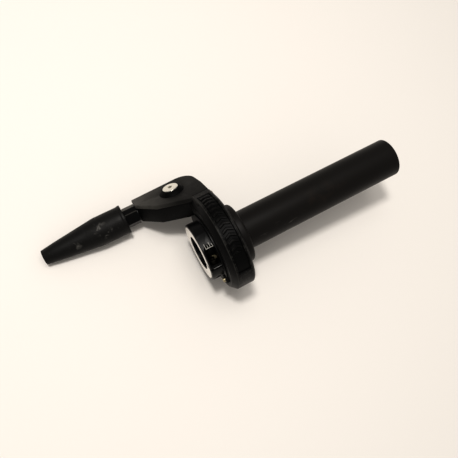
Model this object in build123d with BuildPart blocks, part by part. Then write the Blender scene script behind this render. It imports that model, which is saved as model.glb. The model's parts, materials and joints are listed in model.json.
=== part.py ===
from build123d import *
import math
import os

# Quick-action motorcycle throttle, right hand.  All sizes are in millimetres.
# The X axis is the handlebar's axis, +X towards the bar's end, +Y forwards, +Z up.
# The origin is the centre of the clamp's bore at the clamp's inboard face.
# A cable would enter through the boot and the adjuster, turn on a roller in the arm
# and wrap round the drum, which the twist tube turns.

# ---------------------------------------------------------------- driving sizes

BAR_R = 11.1            # handlebar, 22.2 mm diameter
TUBE_R = 12.7           # twist tube, outside
TUBE_BORE_R = 11.45     # twist tube, inside
GRIP_LENGTH = 113.2     # bare tube outboard of the flange
TUBE_EDGE = 0.5
BUSH_R = 14.3
BUSH_FLANGE_R = 15.8
BUSH_FLANGE_T = 0.7
WIPER_R = 16.5
WIPER_T = 1.4
FLANGE_R = 19.5
FLANGE_T = 5.0
FLANGE_EDGE = 1.4       # rounding of the flange's rim

COLLAR_R = 19.0         # clamp collar
COLLAR_LENGTH = 7.2
COLLAR_EDGE = 0.5
NECK_R = 22.6           # step between the collar and the case
NECK_T = 1.0
SPIGOT_R = 12.2         # centres the collar in the case
SLIT_WIDTH = 1.2
SLIT_ANGLE = 141.0      # about the bar, from +Y towards +Z
FACET_ANGLE = 84.0      # flat that carries the position marks
FACET_WIDTH = 10.0

CASE_R = 28.5
CASE_CHAMFER = 2.7
END_WALL = 2.0
CHAMBER_R = 25.8
COVER_T = 1.5
BAND_T = 2.4
BAND_CHAMFER = 3.3
BAND_EDGE = 1.0
PANEL_DEPTH = 0.8       # recess in the band
PANEL_BORDER = 1.6
PANEL_REACH = 7.5       # it starts this far along the band's flat top
PANEL_END = 144.0       # and ends at this angle, from +Y towards +Z
SEAM_Y = 12.9           # where the band meets the arm's plate

DRUM_R = 25.2
DRUM_HUB_R = 16.5
DRUM_WIDTH = 10.3
SECTOR_WIDTH = 6.0
SECTOR_START = -51.0
SECTOR_END = 75.0
GROOVE_PITCH_R = 22.8
GROOVE_WIDTH = 2.4
GROOVE_FLANGE = 1.1
WIRE_R = 0.9
WIRE_WAY = 2.0          # half width of the way from the drum to the roller
NIPPLE_R = 3.05
NIPPLE_PITCH_R = 21.4
NIPPLE_ANGLE = 61.0
NIPPLE_DEPTH = 4.6
TWIST_RANGE = 80.0
STOP_R = 1.5
STOP_PITCH_R = 18.3
STOP_ANGLE = 39.0
STOP_LENGTH = 2.4       # stands this far into the drum's pocket
STOP_POCKET = 2.8

ARM_TILT = 49.0         # the arm's face leans this far forwards from level
PLATE_T = 2.5
PLATE_OVERHANG = 0.6
PLATE_EDGE = 0.5        # bevel round the plate
ARM_WALL = 2.2
FLOOR_T = 2.0
ARM_INSET = 1.9         # arm's side, from the case's inboard end
ARM_STEP = 0.5          # arm's other side, from the cover's face
ARM_ROOT_Y = 10.1       # its inboard side leaves the case here
ELBOW_X = -10.5         # corner of its inboard side
ELBOW_Y = 21.6
ARM_FRONT = 6.1         # front edge, from the cable's line
CORNER_LENGTH = 12.1    # rounded front corner: along the front edge
CORNER_DEPTH = 10.6     # and along the outboard side
CORNER_BULGE = 3.65     # its middle stands off both edges by this much
TAPER_Y = 27.0          # the outboard side draws in forwards of here
TAPER = 0.9
TROUGH_Y = 19.5         # the wall between the chamber and the arm's trough ends here
ROLLER_PITCH_R = 9.1
ROLLER_LIP = 1.2
ROLLER_T = 4.6
ROLLER_Y = 31.8         # distance forwards from the bar, along the arm
AXLE_R = 2.5
AXLE_BUSH_R = 3.5
SPACER_R = 5.4
CONE_BASE_R = 8.35
CONE_TOP_R = 5.9
CONE_H = 2.2
AXLE_HEAD_R = 5.1
AXLE_HEAD_H = 0.7
AXLE_SOCKET_AF = 2.5
AXLE_TIP = 1.0          # stands out of its nut
NUT_AF = 8.0
NUT_T = 2.7

NOSE_X = -21.5          # inboard end of the arm
NOSE_T = 8.5
NOSE_BACK = 5.0         # nose's width, backwards from the cable's line
NOSE_FRONT = 4.7        # and forwards
THREAD_R = 3.5          # cable adjuster, thread
THREAD_LENGTH = 12.0
ADJUSTER_AF = 12.0
HEX_LENGTH = 8.3
HEX_TURN = 18.5         # degrees from a corner that lies along the arm's face
HEX_GAP = 0.1           # between the hexagon and the arm's nose, screwed right in
BARREL_R = 5.6
BARREL_LENGTH = 15.0
OUTER_CABLE_R = 2.7     # seat for the cable's outer sleeve
WIRE_HOLE_R = 1.3
OUTER_SEAT_DEPTH = 18.0
BOOT_END_X = -86.0
BOOT_R = 9.8
BOOT_EDGE = 0.4
BOOT_SHOULDER = 18.5    # the boot tapers from this far behind its mouth
BOOT_TIP_R = 4.85

M3_R = 1.5
M4_R = 2.0
PINCH_X = 4.0
PINCH_R = 15.1          # pinch screw's axis, from the bar's axis
PINCH_SEAT = 2.5        # head's seat, from the middle of the slit
PINCH_LENGTH = 11.0
PINCH_HEAD_R = 3.0
PINCH_HEAD_H = 3.2
PINCH_SOCKET_AF = 3.0
HUB_SCREW_R = 15.0
HUB_SCREW_LENGTH = 6.0
COUNTERSINK_R = 2.8
COUNTERSINK_DEPTH = 1.6
HUB_SCREW_ANGLES = (61, 201, 311)
BOSS_PITCH_R = 22.2
LONG_SCREW_ANGLE = 176.0
SHORT_SCREW_ANGLE = 281.0
BOSS_R = 3.4
LONG_BOSS_R = 3.0
LONG_BOSS_X = 6.4
LONG_SCREW_TIP = 1.3    # stands out of its boss
SHORT_SCREW_LENGTH = 8.0
ARM_SCREW_LENGTH = 6.0
ARM_SCREW_Y = 14.6
ARM_SCREW_H = 24.8
PAN_HEAD_R = 2.75
PAN_HEAD_H = 1.5
PAN_SOCKET_AF = 2.0
SET_SCREW_ANGLES = (181, 271)
SET_SCREW_X = 18.2
SET_SCREW_DROP = 0.3    # below the hub's surface
SET_SOCKET_AF = 2.0
SET_SOCKET_DEPTH = 1.6
RECESS_SHARE = 0.6      # depth of a screw's hex recess, as a share of its head

RUNNING = 0.06          # radial clearance of a shaft in its bore
SIDE_GAP = 0.2          # end play beside a turning piece
CLEAR = 0.3             # clearance between pieces that move apart
LOOSE = 0.2             # clearance of a fixed screw in a plain hole
OVER = 1.0              # a cut runs this far past the face that it opens

# ------------------------------------------------------------- sizes that follow

case_x0 = COLLAR_LENGTH + NECK_T
chamber_x0 = case_x0 + END_WALL
drum_x0 = chamber_x0 + SIDE_GAP
drum_x1 = drum_x0 + DRUM_WIDTH
bush_x0 = drum_x1 + SIDE_GAP
cover_x0 = bush_x0 + BUSH_FLANGE_T
cover_x1 = cover_x0 + COVER_T
wiper_x0 = cover_x1 + CLEAR
flange_x0 = wiper_x0 + WIPER_T
flange_x1 = flange_x0 + FLANGE_T
tube_x1 = flange_x1 + GRIP_LENGTH

band_r = CASE_R + BAND_T
plate_top = CASE_R + PLATE_T
groove_x = drum_x0 + GROOVE_FLANGE + GROOVE_WIDTH / 2
groove_floor_r = GROOVE_PITCH_R - WIRE_R
roller_x = groove_x - ROLLER_PITCH_R
cable_y = ROLLER_Y + ROLLER_PITCH_R
cable_h = GROOVE_PITCH_R
roller_h0 = cable_h - ROLLER_T / 2
roller_h1 = cable_h + ROLLER_T / 2
roller_r = ROLLER_PITCH_R + ROLLER_LIP
trough_floor = roller_h0 - SIDE_GAP
arm_floor = trough_floor - FLOOR_T
cover_y = TROUGH_Y - LOOSE
arm_left = case_x0 + ARM_INSET
arm_right = cover_x1 - ARM_STEP
arm_end_y = cable_y + ARM_FRONT
arm_corner_x = arm_right - CORNER_LENGTH
arm_corner_y = arm_end_y - CORNER_DEPTH

hex_x1 = NOSE_X - HEX_GAP
hex_x0 = hex_x1 - HEX_LENGTH
barrel_x0 = hex_x0 - BARREL_LENGTH
boot_x1 = hex_x0 - CLEAR
thread_x1 = hex_x1 + THREAD_LENGTH

arm_sin = math.sin(math.radians(ARM_TILT))
arm_cos = math.cos(math.radians(ARM_TILT))


# ---------------------------------------------------------------- shared planes

def arm_plane(height):
    """Plane along the arm's face: x is +X, y runs forwards along the arm."""
    return Plane(origin=(0, height * arm_sin, height * arm_cos), x_dir=(1, 0, 0), z_dir=(0, arm_sin, arm_cos))


def on_arm(x, y, height):
    """Point at x and y along the arm's face, at this height from the bar's axis."""
    return arm_plane(height).from_local_coords((x, y, 0))


def arm_section(y):
    """Upright plane across the arm: x is +X, y rises from the bar's axis."""
    forwards = Vector(0, arm_cos, -arm_sin)
    return Plane(origin=forwards * y, x_dir=(1, 0, 0), z_dir=-forwards)


def cable_section():
    """Plane through the cable's line: x is +X, y is the radius from that line."""
    return Plane(origin=on_arm(0, cable_y, cable_h), x_dir=(1, 0, 0), z_dir=(0, -1, 0))


def across_cable(x):
    """Plane square to the cable's line at x, its x direction along the arm."""
    return Plane(origin=on_arm(x, cable_y, cable_h), x_dir=(0, arm_cos, -arm_sin), z_dir=(1, 0, 0))


def bar_polar(x, radius, angle):
    """Plane square to the bar at x, centred on a point at this radius and angle."""
    turn = math.radians(angle)
    centre = (x, radius * math.cos(turn), radius * math.sin(turn))
    return Plane(origin=centre, x_dir=(0, 1, 0), z_dir=(1, 0, 0))


def facing_out(radius, angle, x=0.0):
    """Plane that faces straight away from the bar's axis at this angle, x along the bar."""
    turn = math.radians(angle)
    outwards = Vector(0, math.cos(turn), math.sin(turn))
    return Plane(origin=Vector(x, 0, 0) + outwards * radius, x_dir=(1, 0, 0), z_dir=outwards)


cable_axis = Axis(on_arm(0, cable_y, cable_h), (1, 0, 0))
pinch_turn = math.radians(SLIT_ANGLE)
pinch_plane = Plane(
    origin=(PINCH_X, PINCH_R * math.cos(pinch_turn), PINCH_R * math.sin(pinch_turn)),
    x_dir=(1, 0, 0),
    z_dir=(0, math.sin(pinch_turn), -math.cos(pinch_turn)),
)


# -------------------------------------------------------------- shared features

def turned(points, axis=Axis.X, plane=Plane.XZ):
    """Adds a solid of revolution whose half profile has these points."""
    with BuildSketch(plane) as half:
        with BuildLine():
            Polyline(*points, close=True)
        make_face()
    revolve(half.sketch, axis=axis)


def disc(plane, radius, thickness, mode=Mode.ADD):
    """Adds or cuts a round of this thickness, rising from the plane."""
    with BuildSketch(plane) as round_face:
        Circle(radius)
    extrude(round_face.sketch, amount=thickness, mode=mode)


def sector(x, radius, start, end, inner=0.0):
    """Sketch of a pie slice about the bar's axis, cut off at the inner radius."""
    with BuildSketch(Plane.YZ.offset(x)) as slice_face:
        with BuildLine():
            arc = CenterArc((0, 0), radius, start, end - start)
            Line((0, 0), arc @ 0)
            Line(arc @ 1, (0, 0))
        make_face()
        if inner:
            Circle(inner, mode=Mode.SUBTRACT)
    return slice_face.sketch


def screw(plane, shank_r, length, head_r, head_h, recess_af):
    """Adds a headed screw: the head seats on the plane and the shank goes down through it."""
    disc(plane, shank_r, -length)
    disc(plane, head_r, head_h)
    with BuildSketch(plane.offset(head_h)) as recess:
        RegularPolygon(radius=recess_af / 2, side_count=6, major_radius=False)
    extrude(recess.sketch, amount=-head_h * RECESS_SHARE, mode=Mode.SUBTRACT)


def case_form(radius, left_chamfer, right_chamfer, x0, x1, flat_end):
    """Round drum case whose top runs off flat towards the arm, as far as flat_end."""
    corners = [
        (x0, 0), (x0, radius - left_chamfer), (x0 + left_chamfer, radius),
        (x1 - right_chamfer, radius), (x1, radius - right_chamfer), (x1, 0),
    ]
    profile = list(dict.fromkeys(corners))
    with BuildPart() as form:
        with BuildSketch(Plane.XZ):
            with BuildLine():
                Polyline(*profile, close=True)
            make_face()
        revolve(axis=Axis.X)
        with BuildSketch(arm_section(0)):
            with BuildLine():
                Polyline(*profile, close=True)
            make_face()
        extrude(amount=-flat_end)
    return form.part


def arm_outline(height, inset):
    """Sketch of the arm seen square to its face, pulled in by inset."""
    with BuildSketch(arm_plane(height)) as outline:
        with BuildLine():
            Polyline((arm_left, 0), (arm_left, ARM_ROOT_Y), (ELBOW_X, ELBOW_Y), (NOSE_X, cable_y - NOSE_BACK),
                     (NOSE_X, cable_y + NOSE_FRONT), (arm_corner_x, arm_end_y))
            ThreePointArc((arm_corner_x, arm_end_y), (arm_right - CORNER_BULGE, arm_end_y - CORNER_BULGE),
                          (arm_right - TAPER, arm_corner_y))
            Polyline((arm_right - TAPER, arm_corner_y), (arm_right, TAPER_Y), (arm_right, 0), (arm_left, 0))
        make_face()
        if inset:
            offset(amount=-inset, kind=Kind.INTERSECTION)
    return outline.sketch


def cut_forwards(y, x0, x1, h0, h1, reach):
    """Cuts a block of the arm's frame that starts at y and reaches forwards."""
    with BuildSketch(arm_section(y)) as block_face:
        with Locations(((x0 + x1) / 2, (h0 + h1) / 2)):
            Rectangle(x1 - x0, h1 - h0)
    extrude(block_face.sketch, amount=-reach, mode=Mode.SUBTRACT)


def arm_block(x0, x1, y0, y1, height):
    """Sketch of a rectangle in the arm's frame, to limit another sketch."""
    with BuildSketch(arm_plane(height)) as block_face:
        with Locations(((x0 + x1) / 2, (y0 + y1) / 2)):
            Rectangle(x1 - x0, y1 - y0)
    return block_face.sketch


def axle_plane(height):
    """Plane square to the roller's axle at this height."""
    return Plane(origin=on_arm(roller_x, ROLLER_Y, height), x_dir=(1, 0, 0), z_dir=(0, arm_sin, arm_cos))


def arm_screw_plane(x):
    """Plane square to the bar, centred on the case screw at the arm's root."""
    return Plane(origin=on_arm(x, ARM_SCREW_Y, ARM_SCREW_H), x_dir=(0, 1, 0), z_dir=(1, 0, 0))


os.makedirs("parts", exist_ok=True)

# --------------------------------------------------------------- case and clamp

with BuildPart() as hub_screws:
    for angle in HUB_SCREW_ANGLES:
        head = bar_polar(chamber_x0 - COUNTERSINK_DEPTH, HUB_SCREW_R, angle)
        with BuildSketch(head):
            Circle(M3_R)
        extrude(amount=-HUB_SCREW_LENGTH)
        with BuildSketch(head):
            Circle(M3_R)
        with BuildSketch(head.offset(COUNTERSINK_DEPTH)):
            Circle(COUNTERSINK_R)
        loft()
hub_screws.part.label = "hub_screws"
export_step(hub_screws.part, "parts/hub_screws.step")

with BuildPart() as clamp_hub:
    turned([
        (0, 0), (0, COLLAR_R - COLLAR_EDGE), (COLLAR_EDGE, COLLAR_R), (COLLAR_LENGTH, COLLAR_R),
        (COLLAR_LENGTH, NECK_R), (case_x0, NECK_R), (case_x0, SPIGOT_R), (chamber_x0, SPIGOT_R),
        (chamber_x0, 0),
    ])
    disc(Plane.YZ, BAR_R, chamber_x0, mode=Mode.SUBTRACT)
    # flat for the position marks
    facet_distance = math.sqrt(COLLAR_R ** 2 - (FACET_WIDTH / 2) ** 2)
    with BuildSketch(facing_out(facet_distance, FACET_ANGLE)):
        Rectangle(2 * COLLAR_LENGTH, 2 * COLLAR_R)
    extrude(amount=COLLAR_R - facet_distance, mode=Mode.SUBTRACT)
    # slit through the wall, as deep as the collar
    with BuildSketch(facing_out(BAR_R - OVER, SLIT_ANGLE, COLLAR_LENGTH / 2)):
        Rectangle(COLLAR_LENGTH, SLIT_WIDTH)
    extrude(amount=COLLAR_R, mode=Mode.SUBTRACT)
    # pocket for the pinch screw's head, open to the outside
    with BuildSketch(pinch_plane.offset(PINCH_SEAT)):
        Circle(PINCH_HEAD_R + LOOSE)
        with Locations((0, -COLLAR_R / 2)):
            Rectangle(2 * (PINCH_HEAD_R + LOOSE), COLLAR_R)
    extrude(amount=COLLAR_R, mode=Mode.SUBTRACT)
    disc(pinch_plane.offset(-COLLAR_R), M4_R, COLLAR_R, mode=Mode.SUBTRACT)
    disc(pinch_plane, M4_R + LOOSE, PINCH_SEAT, mode=Mode.SUBTRACT)
    add(hub_screws.part, mode=Mode.SUBTRACT)
    # the long case screw's boss passes the neck
    disc(bar_polar(COLLAR_LENGTH - OVER, BOSS_PITCH_R, LONG_SCREW_ANGLE), LONG_BOSS_R + LOOSE,
         NECK_T + OVER, mode=Mode.SUBTRACT)
clamp_hub.part.label = "clamp_hub"
export_step(clamp_hub.part, "parts/clamp_hub.step")

with BuildPart() as clamp_screw:
    screw(pinch_plane.offset(PINCH_SEAT), M4_R, PINCH_LENGTH, PINCH_HEAD_R, PINCH_HEAD_H, PINCH_SOCKET_AF)
clamp_screw.part.label = "clamp_screw"
export_step(clamp_screw.part, "parts/clamp_screw.step")

with BuildPart() as housing_body:
    add(case_form(CASE_R, CASE_CHAMFER, 0, case_x0, cover_x0, TROUGH_Y))
    # arm, with its trough, nose and roller floor
    extrude(arm_outline(arm_floor, PLATE_OVERHANG), amount=CASE_R - arm_floor)
    extrude(arm_outline(trough_floor, PLATE_OVERHANG + ARM_WALL)
            & arm_block(NOSE_X + NOSE_T, arm_right, TROUGH_Y, arm_end_y, trough_floor),
            amount=plate_top, mode=Mode.SUBTRACT)
    # room for the neck under the arm, and the seat of the outboard cover
    disc(Plane.YZ.offset(COLLAR_LENGTH - OVER), NECK_R + LOOSE, NECK_T + OVER, mode=Mode.SUBTRACT)
    add(case_form(CASE_R, 0, 0, cover_x0, cover_x1 + OVER, TROUGH_Y), mode=Mode.SUBTRACT)
    # drum chamber with the screws' bosses
    disc(Plane.YZ.offset(chamber_x0), CHAMBER_R, cover_x1, mode=Mode.SUBTRACT)
    disc(Plane.YZ.offset(case_x0), SPIGOT_R, END_WALL, mode=Mode.SUBTRACT)
    for angle in (LONG_SCREW_ANGLE, SHORT_SCREW_ANGLE):
        disc(bar_polar(case_x0, BOSS_PITCH_R, angle), BOSS_R, cover_x0 - case_x0)
    disc(bar_polar(LONG_BOSS_X, BOSS_PITCH_R, LONG_SCREW_ANGLE), LONG_BOSS_R, case_x0 - LONG_BOSS_X)
    # way for the cable from the drum to the trough
    cut_forwards(GROOVE_PITCH_R / 3, groove_x - WIRE_WAY, groove_x + WIRE_WAY, cable_h - WIRE_WAY,
                 cable_h + WIRE_WAY, reach=TROUGH_Y)
    # holes for the fasteners, the stop pin and the adjuster
    add(hub_screws.part, mode=Mode.SUBTRACT)
    disc(bar_polar(case_x0, STOP_PITCH_R, STOP_ANGLE), STOP_R, END_WALL, mode=Mode.SUBTRACT)
    disc(bar_polar(LONG_BOSS_X, BOSS_PITCH_R, LONG_SCREW_ANGLE), M3_R, cover_x0, mode=Mode.SUBTRACT)
    disc(bar_polar(cover_x0, BOSS_PITCH_R, SHORT_SCREW_ANGLE), M3_R, -SHORT_SCREW_LENGTH, mode=Mode.SUBTRACT)
    disc(arm_screw_plane(cover_x0), M3_R, -ARM_SCREW_LENGTH, mode=Mode.SUBTRACT)
    disc(across_cable(NOSE_X), THREAD_R + RUNNING, thread_x1 + CLEAR - NOSE_X, mode=Mode.SUBTRACT)
    disc(axle_plane(arm_floor), AXLE_R, FLOOR_T, mode=Mode.SUBTRACT)
housing_body.part.label = "housing_body"
export_step(housing_body.part, "parts/housing_body.step")

with BuildPart() as stop_pin:
    disc(bar_polar(case_x0, STOP_PITCH_R, STOP_ANGLE), STOP_R, END_WALL + SIDE_GAP + STOP_LENGTH)
stop_pin.part.label = "stop_pin"
export_step(stop_pin.part, "parts/stop_pin.step")

with BuildPart() as outboard_cover:
    add(case_form(CASE_R, 0, 0, cover_x0, cover_x1, cover_y))
    disc(Plane.YZ.offset(cover_x0), BUSH_R, COVER_T, mode=Mode.SUBTRACT)
    for angle in (LONG_SCREW_ANGLE, SHORT_SCREW_ANGLE):
        disc(bar_polar(cover_x0, BOSS_PITCH_R, angle), M3_R + LOOSE, COVER_T, mode=Mode.SUBTRACT)
    disc(arm_screw_plane(cover_x0), M3_R + LOOSE, COVER_T, mode=Mode.SUBTRACT)
outboard_cover.part.label = "outboard_cover"
export_step(outboard_cover.part, "parts/outboard_cover.step")

with BuildPart() as outboard_bush:
    disc(Plane.YZ.offset(bush_x0), BUSH_FLANGE_R, BUSH_FLANGE_T)
    disc(Plane.YZ.offset(cover_x0), BUSH_R, COVER_T)
    disc(Plane.YZ.offset(bush_x0), TUBE_R + RUNNING, cover_x1 - bush_x0, mode=Mode.SUBTRACT)
outboard_bush.part.label = "outboard_bush"
export_step(outboard_bush.part, "parts/outboard_bush.step")

# long screw: its tip shows through the boss on the inboard side
with BuildPart() as case_through_screw:
    screw(bar_polar(cover_x1, BOSS_PITCH_R, LONG_SCREW_ANGLE), M3_R,
          cover_x1 - LONG_BOSS_X + LONG_SCREW_TIP, PAN_HEAD_R, PAN_HEAD_H, PAN_SOCKET_AF)
case_through_screw.part.label = "case_through_screw"
export_step(case_through_screw.part, "parts/case_through_screw.step")

with BuildPart() as case_screws:
    screw(bar_polar(cover_x1, BOSS_PITCH_R, SHORT_SCREW_ANGLE), M3_R,
          SHORT_SCREW_LENGTH + COVER_T, PAN_HEAD_R, PAN_HEAD_H, PAN_SOCKET_AF)
    screw(arm_screw_plane(cover_x1), M3_R, ARM_SCREW_LENGTH + COVER_T, PAN_HEAD_R, PAN_HEAD_H,
          PAN_SOCKET_AF)
case_screws.part.label = "case_screws"
export_step(case_screws.part, "parts/case_screws.step")

# ------------------------------------------------------------------ arm's pieces

with BuildPart() as arm_cover:
    extrude(arm_outline(CASE_R, 0), amount=PLATE_T)
    cut_forwards(SEAM_Y - band_r, case_x0 + BAND_CHAMFER, cover_x1, CASE_R, plate_top, reach=band_r)
    chamfer(arm_cover.faces().sort_by(Axis((0, 0, 0), (0, arm_sin, arm_cos)))[-1].edges(), length=PLATE_EDGE)
    disc(axle_plane(CASE_R), AXLE_R + LOOSE, PLATE_T, mode=Mode.SUBTRACT)
arm_cover.part.label = "arm_cover"
export_step(arm_cover.part, "parts/arm_cover.step")

with BuildPart() as cover_band:
    add(case_form(band_r, BAND_CHAMFER, BAND_EDGE, case_x0, cover_x1, SEAM_Y))
    add(case_form(CASE_R, CASE_CHAMFER, 0, case_x0, cover_x1, SEAM_Y + OVER), mode=Mode.SUBTRACT)
    # the arm interrupts the band
    cut_forwards(SEAM_Y, 0, cover_x1 + OVER, arm_floor - LOOSE, plate_top + OVER, reach=band_r)
    add(housing_body.part, mode=Mode.SUBTRACT)
    add(arm_cover.part, mode=Mode.SUBTRACT)
    # recessed panel round the outside
    panel_x0 = case_x0 + BAND_CHAMFER + PANEL_BORDER
    panel_x1 = cover_x1 - BAND_EDGE - PANEL_BORDER
    with BuildSketch(arm_section(0)) as panel_face:
        with Locations(((panel_x0 + panel_x1) / 2, band_r)):
            Rectangle(panel_x1 - panel_x0, 2 * PANEL_DEPTH)
    extrude(panel_face.sketch, amount=-PANEL_REACH, mode=Mode.SUBTRACT)
    revolve(panel_face.sketch, axis=Axis.X, revolution_arc=PANEL_END - (90 - ARM_TILT), mode=Mode.SUBTRACT)
cover_band.part.label = "cover_band"
export_step(cover_band.part, "parts/cover_band.step")

with BuildPart() as axle_washer:
    with BuildSketch(axle_plane(plate_top)):
        Circle(CONE_BASE_R)
    with BuildSketch(axle_plane(plate_top + CONE_H)):
        Circle(CONE_TOP_R)
    loft()
    disc(axle_plane(plate_top), AXLE_R + LOOSE, CONE_H, mode=Mode.SUBTRACT)
axle_washer.part.label = "axle_washer"
export_step(axle_washer.part, "parts/axle_washer.step")

with BuildPart() as axle_screw:
    screw(axle_plane(plate_top + CONE_H), AXLE_R, plate_top + CONE_H - arm_floor + NUT_T + AXLE_TIP,
          AXLE_HEAD_R, AXLE_HEAD_H, AXLE_SOCKET_AF)
axle_screw.part.label = "axle_screw"
export_step(axle_screw.part, "parts/axle_screw.step")

with BuildPart() as axle_nut:
    with BuildSketch(axle_plane(arm_floor)):
        RegularPolygon(radius=NUT_AF / 2, side_count=6, major_radius=False)
        Circle(AXLE_R, mode=Mode.SUBTRACT)
    extrude(amount=-NUT_T)
axle_nut.part.label = "axle_nut"
export_step(axle_nut.part, "parts/axle_nut.step")

with BuildPart() as roller_bush:
    disc(axle_plane(trough_floor), AXLE_BUSH_R, roller_h1 + SIDE_GAP - trough_floor)
    disc(axle_plane(roller_h1 + SIDE_GAP), SPACER_R, CASE_R - roller_h1 - SIDE_GAP)
    disc(axle_plane(trough_floor), AXLE_R, CASE_R - trough_floor, mode=Mode.SUBTRACT)
roller_bush.part.label = "roller_bush"
export_step(roller_bush.part, "parts/roller_bush.step")

# ------------------------------------------------------------------ cable roller

roller_centre = on_arm(roller_x, ROLLER_Y, cable_h)
roller_section = Plane(origin=roller_centre, x_dir=(1, 0, 0), z_dir=(0, -arm_cos, arm_sin))

with BuildPart() as roller:
    groove_r = ROLLER_PITCH_R - WIRE_R
    turned(
        [
            (AXLE_BUSH_R + RUNNING, -ROLLER_T / 2), (roller_r, -ROLLER_T / 2), (roller_r, -GROOVE_WIDTH / 2),
            (groove_r, -WIRE_R / 2), (groove_r, WIRE_R / 2), (roller_r, GROOVE_WIDTH / 2),
            (roller_r, ROLLER_T / 2), (AXLE_BUSH_R + RUNNING, ROLLER_T / 2),
        ],
        axis=Axis(roller_centre, (0, arm_sin, arm_cos)), plane=roller_section,
    )
roller.part.label = "roller"
export_step(roller.part, "parts/roller.step")

# --------------------------------------------------------------- pieces that twist

with BuildPart() as throttle_tube:
    turned([
        (drum_x0, TUBE_BORE_R), (drum_x0, TUBE_R),
        (flange_x0, TUBE_R), (flange_x0, FLANGE_R - FLANGE_EDGE / 2),
        (flange_x0 + FLANGE_EDGE / 2, FLANGE_R), (flange_x1 - FLANGE_EDGE, FLANGE_R),
        (flange_x1, FLANGE_R - FLANGE_EDGE), (flange_x1, TUBE_R), (tube_x1 - TUBE_EDGE, TUBE_R),
        (tube_x1, TUBE_R - TUBE_EDGE), (tube_x1, TUBE_BORE_R),
    ])
throttle_tube.part.label = "throttle_tube"
export_step(throttle_tube.part, "parts/throttle_tube.step")

with BuildPart() as cable_drum:
    disc(Plane.YZ.offset(drum_x0), DRUM_HUB_R, DRUM_WIDTH)
    extrude(sector(drum_x0, DRUM_R, SECTOR_START, SECTOR_END), amount=SECTOR_WIDTH)
    disc(Plane.YZ.offset(drum_x0), TUBE_R, DRUM_WIDTH, mode=Mode.SUBTRACT)
    with BuildSketch(Plane.YZ.offset(groove_x - GROOVE_WIDTH / 2)):
        Circle(DRUM_R + OVER)
        Circle(groove_floor_r, mode=Mode.SUBTRACT)
    extrude(amount=GROOVE_WIDTH, mode=Mode.SUBTRACT)
    # seat of the cable's barrel nipple
    disc(bar_polar(drum_x0, NIPPLE_PITCH_R, NIPPLE_ANGLE), NIPPLE_R, NIPPLE_DEPTH, mode=Mode.SUBTRACT)
    # curved pocket in which the stop pin limits the twist
    pocket_r = STOP_R + CLEAR
    pocket_face = sector(drum_x0, STOP_PITCH_R + pocket_r, STOP_ANGLE - TWIST_RANGE, STOP_ANGLE,
                         inner=STOP_PITCH_R - pocket_r)
    extrude(pocket_face, amount=STOP_POCKET, mode=Mode.SUBTRACT)
    for angle in (STOP_ANGLE - TWIST_RANGE, STOP_ANGLE):
        disc(bar_polar(drum_x0, STOP_PITCH_R, angle), pocket_r, STOP_POCKET, mode=Mode.SUBTRACT)
    for angle in SET_SCREW_ANGLES:
        disc(facing_out(TUBE_R - OVER, angle, SET_SCREW_X), M4_R, DRUM_HUB_R, mode=Mode.SUBTRACT)
cable_drum.part.label = "cable_drum"
export_step(cable_drum.part, "parts/cable_drum.step")

with BuildPart() as drum_set_screws:
    for angle in SET_SCREW_ANGLES:
        disc(facing_out(TUBE_R, angle, SET_SCREW_X), M4_R, DRUM_HUB_R - TUBE_R - SET_SCREW_DROP)
        with BuildSketch(facing_out(DRUM_HUB_R - SET_SCREW_DROP, angle, SET_SCREW_X)):
            RegularPolygon(radius=SET_SOCKET_AF / 2, side_count=6, major_radius=False)
        extrude(amount=-SET_SOCKET_DEPTH, mode=Mode.SUBTRACT)
drum_set_screws.part.label = "drum_set_screws"
export_step(drum_set_screws.part, "parts/drum_set_screws.step")

with BuildPart() as wiper_ring:
    disc(Plane.YZ.offset(wiper_x0), WIPER_R, WIPER_T)
    disc(Plane.YZ.offset(wiper_x0), TUBE_R, WIPER_T, mode=Mode.SUBTRACT)
wiper_ring.part.label = "wiper_ring"
export_step(wiper_ring.part, "parts/wiper_ring.step")

# --------------------------------------------------------------- adjuster and boot

with BuildPart() as cable_adjuster:
    with BuildSketch(across_cable(hex_x0)):
        RegularPolygon(radius=ADJUSTER_AF / 2, side_count=6, major_radius=False, rotation=HEX_TURN)
    extrude(amount=HEX_LENGTH)
    disc(across_cable(hex_x1), THREAD_R, thread_x1 - hex_x1)
    disc(across_cable(barrel_x0), BARREL_R, BARREL_LENGTH)
    disc(across_cable(barrel_x0), OUTER_CABLE_R, OUTER_SEAT_DEPTH, mode=Mode.SUBTRACT)
    disc(across_cable(barrel_x0), WIRE_HOLE_R, thread_x1 - barrel_x0, mode=Mode.SUBTRACT)
cable_adjuster.part.label = "cable_adjuster"
export_step(cable_adjuster.part, "parts/cable_adjuster.step")

with BuildPart() as rubber_boot:
    with BuildSketch(cable_section()):
        with BuildLine():
            Polyline((boot_x1, 0), (boot_x1, BOOT_R - BOOT_EDGE), (boot_x1 - BOOT_EDGE, BOOT_R),
                     (boot_x1 - BOOT_SHOULDER, BOOT_R), (BOOT_END_X + BOOT_EDGE, BOOT_TIP_R),
                     (BOOT_END_X, BOOT_TIP_R - BOOT_EDGE), (BOOT_END_X, 0), (boot_x1, 0))
        make_face()
    revolve(axis=cable_axis)
    disc(across_cable(BOOT_END_X), OUTER_CABLE_R, boot_x1 - BOOT_END_X, mode=Mode.SUBTRACT)
    disc(across_cable(barrel_x0 - CLEAR), BARREL_R + RUNNING, boot_x1 - barrel_x0 + CLEAR, mode=Mode.SUBTRACT)
rubber_boot.part.label = "rubber_boot"
export_step(rubber_boot.part, "parts/rubber_boot.step")
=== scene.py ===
import json
import math

import bmesh
import bpy
from mathutils import Matrix, Vector, noise


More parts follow.
